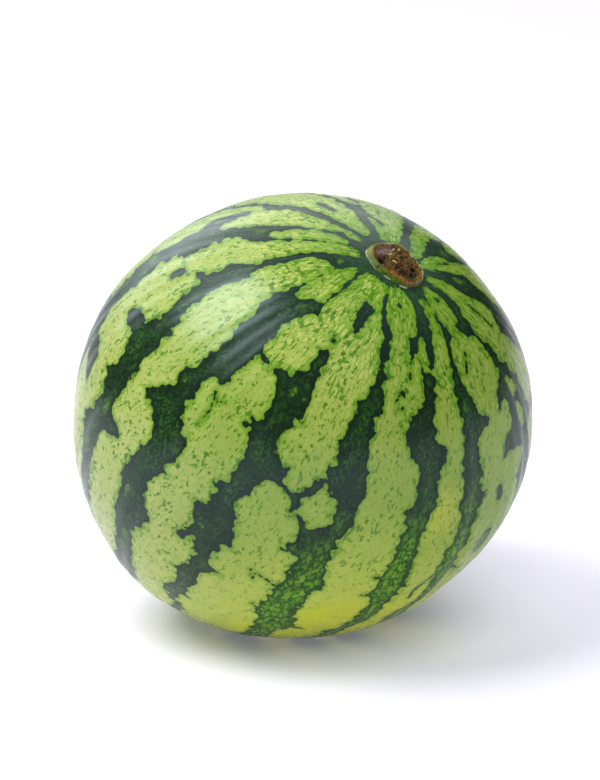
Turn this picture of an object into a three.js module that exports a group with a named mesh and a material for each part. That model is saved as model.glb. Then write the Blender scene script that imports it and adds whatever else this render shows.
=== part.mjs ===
// A small round watermelon, picked and with its stem gone, about 20 cm across.
// It stands on the flat ground spot it grew on, so its own axis leans and the stem end looks up
// and to the front right. The fruit grew in one piece, so it is one closed solid: a nearly round
// body with low ribs from end to end, the corky scar in its raised collar where the stem came
// away, and a small dry button at the blossom end. Millimetres, +Z up, the origin in the middle
// of the underside.
import * as THREE from "three";
import { mergeVertices } from "three/addons/utils/BufferGeometryUtils.js";

// The body, before its ribs and swellings
const EQUATOR_RADIUS = 100;
const POLE_RADIUS = 100.5;
const AXIS_LEAN = 37; // degrees from upright
const AXIS_HEADING = -48; // degrees round from +X: the stem end leans to the front right

// A fruit lying on the ground is never quite round. Directions are in the standing frame,
// in degrees: azimuth round from +X, and elevation above the horizon.
const OVAL = { azimuth: 0, elevation: 19, rise: 2.8 };
const SWELLINGS = [
  { azimuth: -172, elevation: -42, spread: 20, rise: 2.3 }, // low on the left
  { azimuth: -8, elevation: -4, spread: 18, rise: 1.4 }, // on the right
  { azimuth: 15, elevation: 38, spread: 20, rise: -1.9 }, // flatter above that
  { azimuth: 175, elevation: -18, spread: 19, rise: -2.2 }, // flatter on the left
];

// The ground spot: flat, with a soft edge
const SPOT_DEPTH = 5; // how far the flat lies above the lowest point of the round body
const SPOT_EDGE = 2; // height over which the body turns into the flat

// Ribs from end to end, as waves round the axis
const RIBS = [
  { count: 10, height: 0.35, phase: 0.4 },
  { count: 23, height: 0.14, phase: 2.1 },
  { count: 41, height: 0.07, phase: 4.4 },
];

// The stem end: a shallow hollow, and in it the scar's oval collar
const STEM_HOLLOW = { depth: 1.6, spread: 15 };
const SCAR_HALF_LENGTH = 14;
const SCAR_HALF_WIDTH = 10.6;
const SCAR_TURN = 8; // degrees, the oval's long way round the axis
const SCAR_SQUARENESS = 2.5; // 2 is an ellipse
const COLLAR_HEIGHT = 1.9;
const COLLAR_FOOT = 1.08; // shares of the oval's size, from the foot inwards
const COLLAR_LIP = 0.93;
const SCAR_BED = 0.76;
const SCAR_DEPTH = 1.1; // the bed lies this far under the lip
const SCAR_LUMP = 0.35;

// The blossom end: a shallow hollow with a dry button
const BLOSSOM_HOLLOW = { depth: 1.4, spread: 9 };
const BUTTON_RADIUS = 4;
const BUTTON_HEIGHT = 0.5;

// Facets: rings are close together at both ends, where the fine forms are
const SEGMENTS = 80;
const SCAR_RINGS = 15;
const SCAR_REACH = 10; // degrees from the stem end
const BODY_RINGS = 34;
const BUTTON_RINGS = 5;
const BUTTON_REACH = 4; // degrees from the blossom end

const RIND_COLOUR = 0x6f9a45;

const radians = THREE.MathUtils.degToRad;
const smoothstep = THREE.MathUtils.smoothstep;

function bell(distance, spread) {
  return Math.exp(-0.5 * (distance / spread) ** 2);
}

function standingDirection(azimuth, elevation) {
  const level = Math.cos(radians(elevation));
  return new THREE.Vector3(
    level * Math.cos(radians(azimuth)),
    level * Math.sin(radians(azimuth)),
    Math.sin(radians(elevation)),
  );
}

// Turns the fruit's own frame, with its stem end at +Z, into the standing frame.
const lean = new THREE.Quaternion()
  .setFromAxisAngle(new THREE.Vector3(0, 0, 1), radians(AXIS_HEADING))
  .multiply(
    new THREE.Quaternion().setFromAxisAngle(
      new THREE.Vector3(0, 1, 0),
      radians(AXIS_LEAN),
    ),
  );

// The round body's radius in a direction of the standing frame, with its swellings.
function bodyRadius(direction, cosColatitude) {
  const along = (cosColatitude / POLE_RADIUS) ** 2;
  const across = (1 - cosColatitude ** 2) / EQUATOR_RADIUS ** 2;
  let radius = 1 / Math.sqrt(along + across);
  const oval = direction.dot(standingDirection(OVAL.azimuth, OVAL.elevation));
  radius += OVAL.rise * (1.5 * oval ** 2 - 0.5);
  for (const swelling of SWELLINGS) {
    const top = standingDirection(swelling.azimuth, swelling.elevation);
    const away = direction.angleTo(top);
    radius += swelling.rise * bell(away, radians(swelling.spread));
  }
  return radius;
}

// Height of the ribs: full between the ends, and nothing at either end.
function ribHeight(colatitude, longitude) {
  let height = 0;
  for (const rib of RIBS) {
    height += rib.height * Math.cos(rib.count * longitude + rib.phase);
  }
  return height * Math.sin(colatitude) ** 1.5;
}

// Height of the scar and its collar at x along the oval and y across it, from the axis.
function scarHeight(x, y) {
  const share =
    (Math.abs(x / SCAR_HALF_LENGTH) ** SCAR_SQUARENESS +
      Math.abs(y / SCAR_HALF_WIDTH) ** SCAR_SQUARENESS) **
    (1 / SCAR_SQUARENESS);
  const wall = 1 - smoothstep(share, COLLAR_LIP, COLLAR_FOOT);
  const bed = 1 - smoothstep(share, SCAR_BED, COLLAR_LIP);
  const lumps =
    Math.sin(0.55 * x + 0.6) * Math.sin(0.8 * y + 1.9) +
    0.6 * Math.sin(0.45 * x - 0.9 * y);
  return COLLAR_HEIGHT * wall - bed * (SCAR_DEPTH + SCAR_LUMP * lumps);
}

function stemEndHeight(colatitude, longitude) {
  const away = EQUATOR_RADIUS * colatitude;
  const turned = longitude - radians(SCAR_TURN);
  const scar = scarHeight(away * Math.cos(turned), away * Math.sin(turned));
  return scar - STEM_HOLLOW.depth * bell(away, STEM_HOLLOW.spread);
}

function blossomEndHeight(colatitude) {
  const away = EQUATOR_RADIUS * (Math.PI - colatitude);
  const button =
    1 - smoothstep(away, 0.8 * BUTTON_RADIUS, 1.2 * BUTTON_RADIUS);
  return (
    BUTTON_HEIGHT * button -
    BLOSSOM_HOLLOW.depth * bell(away, BLOSSOM_HOLLOW.spread)
  );
}

// The point of the skin at a place on the fruit, about the fruit's middle, as it stands.
function skinPoint(colatitude, longitude) {
  const direction = new THREE.Vector3(
    Math.sin(colatitude) * Math.cos(longitude),
    Math.sin(colatitude) * Math.sin(longitude),
    Math.cos(colatitude),
  ).applyQuaternion(lean);
  const radius =
    bodyRadius(direction, Math.cos(colatitude)) +
    ribHeight(colatitude, longitude) +
    stemEndHeight(colatitude, longitude) +
    blossomEndHeight(colatitude);
  return direction.multiplyScalar(radius);
}

// Presses the underside flat: the larger of the height and the floor, with a soft edge.
function pressed(height) {
  const near = Math.max(SPOT_EDGE - Math.abs(height), 0) / SPOT_EDGE;
  return Math.max(height, 0) + (near ** 2 * SPOT_EDGE) / 4;
}

// Colatitude of each ring, from the stem end to the blossom end.
function ringColatitude(ring) {
  const afterScar = ring - SCAR_RINGS;
  const beforeEnd = SCAR_RINGS + BODY_RINGS + BUTTON_RINGS - ring;
  if (afterScar <= 0) return radians((SCAR_REACH * ring) / SCAR_RINGS);
  if (beforeEnd <= BUTTON_RINGS)
    return Math.PI - radians((BUTTON_REACH * beforeEnd) / BUTTON_RINGS);
  const body = 180 - SCAR_REACH - BUTTON_REACH;
  const share = afterScar / BODY_RINGS;
  const easing = 0.09 * Math.sin(Math.PI * share) ** 2 * (2 * share - 1);
  return radians(SCAR_REACH + body * (share - easing));
}

function watermelonGeometry() {
  const rings = SCAR_RINGS + BODY_RINGS + BUTTON_RINGS;
  const sphere = new THREE.SphereGeometry(1, SEGMENTS, rings);
  sphere.rotateX(Math.PI / 2); // its poles go from Y to the fruit's own Z
  sphere.deleteAttribute("normal");
  sphere.deleteAttribute("uv");
  const geometry = mergeVertices(sphere, 1e-5);
  const position = geometry.getAttribute("position");
  const points = [];
  for (let i = 0; i < position.count; i++) {
    const unit = new THREE.Vector3().fromBufferAttribute(position, i);
    const ring = Math.round(
      (rings * Math.acos(THREE.MathUtils.clamp(unit.z, -1, 1))) / Math.PI,
    );
    points.push(skinPoint(ringColatitude(ring), Math.atan2(unit.y, unit.x)));
  }
  const lowest = Math.min(...points.map((point) => point.z));
  const floor = lowest + SPOT_DEPTH;
  points.forEach((point, i) =>
    position.setXYZ(i, point.x, point.y, pressed(point.z - floor)),
  );
  geometry.computeBoundingBox();
  const middle = geometry.boundingBox.getCenter(new THREE.Vector3());
  geometry.translate(-middle.x, -middle.y, 0);
  geometry.computeVertexNormals();
  return geometry;
}

const watermelon = new THREE.Mesh(
  watermelonGeometry(),
  new THREE.MeshStandardMaterial({
    color: RIND_COLOUR,
    roughness: 0.38,
    metalness: 0,
  }),
);
watermelon.name = "watermelon";

const part = new THREE.Group();
part.add(watermelon);

export default part;
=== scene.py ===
# A whole round watermelon with a striped rind, resting on its ground spot.
# Metres and +Z up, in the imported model's frame; sizes below are real millimetres.
import math
import random
from functools import partial

import bmesh
import bpy
import numpy as np
from mathutils import Matrix, Vector, kdtree, noise


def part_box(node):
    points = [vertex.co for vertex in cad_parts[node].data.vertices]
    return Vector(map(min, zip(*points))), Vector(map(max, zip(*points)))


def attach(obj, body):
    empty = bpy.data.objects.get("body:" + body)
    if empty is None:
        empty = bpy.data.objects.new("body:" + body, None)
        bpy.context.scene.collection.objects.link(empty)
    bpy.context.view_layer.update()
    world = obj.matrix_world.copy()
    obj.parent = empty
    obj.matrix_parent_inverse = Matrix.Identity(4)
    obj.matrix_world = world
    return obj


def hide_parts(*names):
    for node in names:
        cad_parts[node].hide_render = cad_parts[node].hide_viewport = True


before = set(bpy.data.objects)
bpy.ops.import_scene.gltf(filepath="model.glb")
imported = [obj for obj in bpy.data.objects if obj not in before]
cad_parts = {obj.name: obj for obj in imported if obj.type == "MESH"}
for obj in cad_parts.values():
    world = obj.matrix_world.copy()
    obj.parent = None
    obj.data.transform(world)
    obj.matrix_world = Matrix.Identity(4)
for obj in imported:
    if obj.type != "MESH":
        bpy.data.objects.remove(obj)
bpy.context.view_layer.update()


# The camera
# A long lens from in front and a little above, as in the photograph.
CAMERA_ELEVATION = math.radians(17)
CAMERA_DISTANCE = 1.2
FRUIT_MIDDLE = Vector((0, 0, 0.098))
CAMERA_AIM = Vector((-0.0014, 0.0024, 0.1059))

camera_data = bpy.data.cameras.new("camera")
camera_data.lens = 124.1
camera_data.sensor_width = 36
camera_data.clip_end = 50
camera = bpy.data.objects.new("camera", camera_data)
bpy.context.scene.collection.objects.link(camera)
towards_camera = Vector((0, -math.cos(CAMERA_ELEVATION), math.sin(CAMERA_ELEVATION)))
camera.location = FRUIT_MIDDLE + towards_camera * CAMERA_DISTANCE
camera.rotation_euler = (CAMERA_AIM - camera.location).to_track_quat("-Z", "Y").to_euler()
bpy.context.scene.camera = camera
bpy.context.scene.view_settings.view_transform = "Standard"


# The studio
# A white floor, a soft box high on the left, a large one over the floor behind, a broad matt fill
# from the front right, and three pale blue cards that only shine in the wax.
def linear(hex_colour):
    """An sRGB hex colour as linear red, green, blue and alpha."""
    channels = [int(hex_colour[i : i + 2], 16) / 255 for i in (1, 3, 5)]
    return [c / 12.92 if c <= 0.04045 else ((c + 0.055) / 1.055) ** 2.4 for c in channels] + [1]


def add_node(tree, kind, *inputs, named=None, out=None, **settings):
    """Adds a shader node with its settings, and gives its first output or the one that is named.

    Inputs are values or other nodes' outputs: those for the sockets that show, in order, and then
    those for sockets by name."""
    made = tree.nodes.new("ShaderNode" + kind)
    for setting, value in settings.items():
        setattr(made, setting, value)
    shown = [socket for socket in made.inputs if socket.enabled]
    by_name = [(made.inputs[name], value) for name, value in (named or {}).items()]
    for socket, value in [*zip(shown, inputs), *by_name]:
        if isinstance(value, bpy.types.NodeSocket):
            tree.links.new(value, socket)
        else:
            socket.default_value = value
    if out:
        return made.outputs[out]
    return next((socket for socket in made.outputs if socket.enabled), None)


def new_material(name):
    """A material with an empty node tree, and the function above for that tree."""
    material = bpy.data.materials.new(name)
    material.use_nodes = True
    material.node_tree.nodes.clear()
    return material, partial(add_node, material.node_tree)


def white_acrylic_floor():
    """A matt white acrylic sheet, lit a little from below."""
    material, add = new_material("white_acrylic_floor")
    finish = {
        "Base Color": linear("#f6f3fb"),
        "Roughness": 1.0,
        "Specular IOR Level": 0.0,
        "Emission Color": linear("#f0eeff"),
        "Emission Strength": 0.168,
    }
    add("OutputMaterial", add("BsdfPrincipled", named=finish))
    return material


FLOOR_HALF = 6
floor_mesh = bpy.data.meshes.new("floor")
bm = bmesh.new()
bmesh.ops.create_grid(bm, x_segments=1, y_segments=1, size=FLOOR_HALF)
bm.to_mesh(floor_mesh)
bm.free()
floor = bpy.data.objects.new("floor", floor_mesh)
bpy.context.scene.collection.objects.link(floor)
floor_mesh.materials.append(white_acrylic_floor())

ROOM_STRENGTH = 0.02
room = bpy.data.worlds.new("white_room")
room.use_nodes = True
room.node_tree.nodes["Background"].inputs["Color"].default_value = (1, 1, 1, 1)
room.node_tree.nodes["Background"].inputs["Strength"].default_value = ROOM_STRENGTH
bpy.context.scene.world = room


def soft_box(name, centre, aim, width, height, power):
    """A rectangular area light at a place, turned towards another place, in metres and watts."""
    data = bpy.data.lights.new(name, "AREA")
    data.shape = "RECTANGLE"
    data.size = width
    data.size_y = height
    data.energy = power
    light = bpy.data.objects.new(name, data)
    bpy.context.scene.collection.objects.link(light)
    light.location = centre
    light.rotation_euler = (Vector(aim) - light.location).to_track_quat("-Z", "Y").to_euler()
    return light


soft_box("key_soft_box", (-0.87, -0.18, 1.43), (0, 0, 0.1), width=0.9, height=0.9, power=22.5)
soft_box("back_soft_box", (-0.3, 2.6, 2.4), (-0.1, 1.9, 0), width=4.5, height=3.2, power=80)
fill = soft_box("front_fill", (0.69, -1.19, 2.07), (0, 0, 0.1), width=2.0, height=2.0, power=37)
fill.data.color = (0.96, 0.97, 1.06)
fill.visible_glossy = False
for name, centre, width, height, power in [
    ("left_card", (-1.02, 1.46, 1.0), 1.45, 1.1, 8),
    ("backdrop", (-0.8, 3.0, 0.85), 3.8, 1.7, 13),
    ("upper_card", (-0.74, -0.27, 1.46), 0.9, 0.9, 9),
]:
    card = soft_box(name, centre, (0, 0, 0.1), width, height, power)
    card.data.color = (0.9, 0.97, 1.08)
    card.visible_diffuse = False


# The fruit's form
# One hollow-free body that grew round a leaning axis, pressed flat where it lay on the ground.
# The same formula as the solid, with finer ridges from end to end, on an even net of facets.
EQUATOR_RADIUS = 100
POLE_RADIUS = 100.5
AXIS_LEAN = math.radians(37)
AXIS_HEADING = math.radians(-48)
OVAL = (0, 19, 2.8)
SWELLINGS = [(-172, -42, 20, 2.3), (-8, -4, 18, 1.4), (15, 38, 20, -1.9), (175, -18, 19, -2.2)]
RIBS = [(10, 0.35, 0.4), (23, 0.14, 2.1), (41, 0.07, 4.4), (53, 0.05, 2.6), (66, 0.11, 1.3)]
STEM_HOLLOW = (1.6, 15)
BLOSSOM_HOLLOW = (1.4, 9)
BUTTON_RADIUS = 4
BUTTON_HEIGHT = 0.5
SPOT_DEPTH = 5
SPOT_EDGE = 2
NET_CUTS = 125

standing = Matrix.Rotation(AXIS_HEADING, 3, "Z") @ Matrix.Rotation(AXIS_LEAN, 3, "Y")
lean = np.array(standing)


def smoothstep(value, low, high):
    share = np.clip((value - low) / (high - low), 0, 1)
    return share * share * (3 - 2 * share)


def standing_direction(azimuth, elevation):
    a, e = math.radians(azimuth), math.radians(elevation)
    return np.array([math.cos(e) * math.cos(a), math.cos(e) * math.sin(a), math.sin(e)])


def body_radius(directions, along_axis):
    """Radius of the round body, in mm, in directions of the standing frame."""
    radius = 1 / np.sqrt((along_axis / POLE_RADIUS) ** 2 + (1 - along_axis**2) / EQUATOR_RADIUS**2)
    radius += OVAL[2] * (1.5 * (directions @ standing_direction(*OVAL[:2])) ** 2 - 0.5)
    for azimuth, elevation, spread, rise in SWELLINGS:
        away = np.degrees(np.arccos(np.clip(directions @ standing_direction(azimuth, elevation), -1, 1)))
        radius += rise * np.exp(-0.5 * (away / spread) ** 2)
    return radius


def skin_height(from_stem, longitude):
    """Height of the ribs, the two hollows and the button, in mm, at angles on the fruit."""
    height = np.zeros_like(from_stem)
    for count, rise, phase in RIBS:
        height += rise * np.cos(count * longitude + phase)
    height *= np.sin(from_stem) ** 1.5
    stem_away = EQUATOR_RADIUS * from_stem
    height -= STEM_HOLLOW[0] * np.exp(-0.5 * (stem_away / STEM_HOLLOW[1]) ** 2)
    blossom_away = EQUATOR_RADIUS * (math.pi - from_stem)
    height -= BLOSSOM_HOLLOW[0] * np.exp(-0.5 * (blossom_away / BLOSSOM_HOLLOW[1]) ** 2)
    height += BUTTON_HEIGHT * (1 - smoothstep(blossom_away, 0.8 * BUTTON_RADIUS, 1.2 * BUTTON_RADIUS))
    return height


def skin_points(units, extra):
    """Points of the skin, in mm about the body's middle, for unit directions in the fruit's frame."""
    along_axis = np.clip(units[:, 2], -1, 1)
    from_stem = np.arccos(along_axis)
    longitude = np.arctan2(units[:, 1], units[:, 0])
    directions = units @ lean.T
    radius = body_radius(directions, along_axis) + skin_height(from_stem, longitude) + extra
    return directions * radius[:, None]


def pressed(height):
    """Heights over the floor, with all that would be under it pressed flat."""
    near = np.maximum(SPOT_EDGE - np.abs(height), 0) / SPOT_EDGE
    return np.maximum(height, 0) + near**2 * SPOT_EDGE / 4


def vertex_array(mesh):
    flat = np.empty(len(mesh.vertices) * 3, np.float32)
    mesh.vertices.foreach_get("co", flat)
    return flat.reshape(-1, 3).astype(float)


def set_vertices(mesh, points):
    mesh.vertices.foreach_set("co", points.astype(np.float32).ravel())
    mesh.update()


rind_mesh = bpy.data.meshes.new("rind")
bm = bmesh.new()
bmesh.ops.create_cube(bm, size=2)
bmesh.ops.subdivide_edges(bm, edges=bm.edges[:], cuts=NET_CUTS, use_grid_fill=True)
bmesh.ops.recalc_face_normals(bm, faces=bm.faces[:])
for face in bm.faces:
    face.smooth = True
bm.to_mesh(rind_mesh)
bm.free()

cube_points = vertex_array(rind_mesh)
evened = np.tan(cube_points * math.pi / 4)
units = evened / np.linalg.norm(evened, axis=1)[:, None]
from_stem = np.arccos(np.clip(units[:, 2], -1, 1))
longitude = np.arctan2(units[:, 1], units[:, 0])

# The skin runs on under the stem scar, sunk out of its way. The scar's collar meets the skin along
# an uneven oval: degrees round the axis, then mm from it.
SUNK_UNDER_SCAR = 1.3
COLLAR_FOOT = [(-144, 14.6), (-126, 12), (-100, 10.3), (-78, 9.1), (-55, 9), (-26, 10.5), (-7, 12.6),
               (17, 13.3), (42, 14.1), (62, 14.1), (81, 12.3), (101, 12), (120, 13.3), (131, 15),
               (147, 14.6), (173, 14.4), (-166, 14.9)]


def round_outline(rows, angle):
    """Distance in mm from the axis of a smooth closed outline through the rows, at an angle round it."""
    fine = np.radians(np.arange(0, 360, 1))
    turns, sizes = np.radians([row[0] for row in rows]), [row[1] for row in rows]
    order = np.argsort(turns)
    raw = np.interp(fine, turns[order], np.array(sizes)[order], period=2 * math.pi)
    spread = np.exp(-0.5 * (np.arange(-15, 16) / 5) ** 2)
    smooth = np.convolve(np.concatenate([raw[-15:], raw, raw[:15]]), spread / spread.sum(), "valid")
    return np.interp(angle, fine, smooth, period=2 * math.pi)


foot_share = EQUATOR_RADIUS * from_stem / round_outline(COLLAR_FOOT, longitude)
under_scar = -SUNK_UNDER_SCAR * (1 - smoothstep(foot_share, 0.7, 0.9))
skin = skin_points(units, under_scar)
floor_height = skin[:, 2].min() + SPOT_DEPTH
skin[:, 2] = pressed(skin[:, 2] - floor_height)

# The box of the finer skin is brought onto the solid's own box, less than a tenth of a millimetre off.
low, high = (np.array(corner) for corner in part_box("watermelon"))
skin_low, skin_high = skin.min(axis=0), skin.max(axis=0)
to_frame = (high - low) / (skin_high - skin_low)


def in_frame(points):
    """Points in mm over the floor, about the body's middle, as metres in the frame."""
    return (points - skin_low) * to_frame + low


set_vertices(rind_mesh, in_frame(skin))
rind = bpy.data.objects.new("rind", rind_mesh)
bpy.context.scene.collection.objects.link(rind)


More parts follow.
